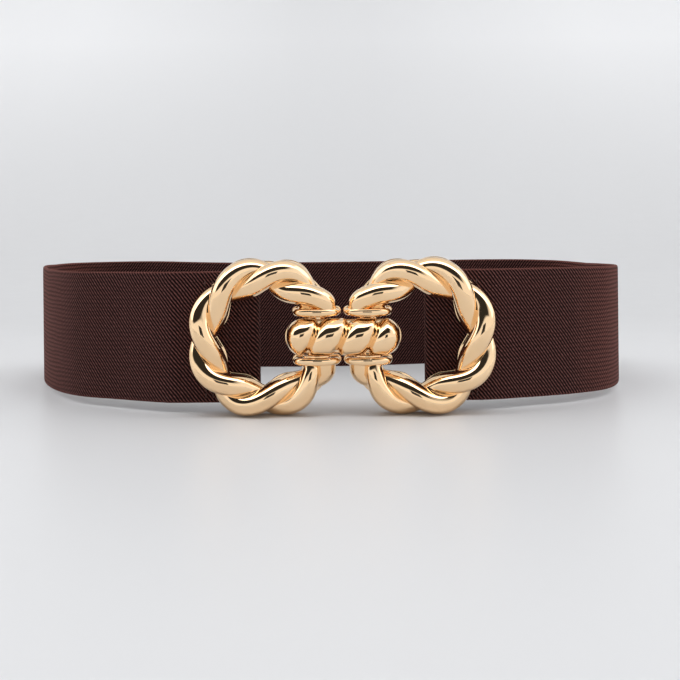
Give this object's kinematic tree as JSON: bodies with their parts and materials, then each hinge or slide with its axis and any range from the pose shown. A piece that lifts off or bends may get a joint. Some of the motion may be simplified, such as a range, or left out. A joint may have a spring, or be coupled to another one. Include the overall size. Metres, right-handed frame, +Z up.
{
  "type": "elastic waist belt",
  "caption": "Wide dark brown elastic waist belt standing as a closed loop, fastened by a gold buckle of two twisted rope rings hooked together behind a rope-twist barrel",
  "frame": {"origin": "middle of the belt's footprint, on the surface that it stands on", "axes": "+X along the buckle, to the right when the buckle is looked at from the front, +Y from the buckle to the back of the loop, +Z up across the band's width"},
  "size_m": [0.3092, 0.1562, 0.0704],
  "materials": {
    "webbing": "woven twill elastic webbing, matt",
    "gold": "polished pale gold plating"
  },
  "bodies": {
    "root": {"elastic_band": "webbing", "buckle_ring_left": "gold", "buckle_ring_right": "gold", "clasp_barrel": "gold"}
  },
  "joints": []
}
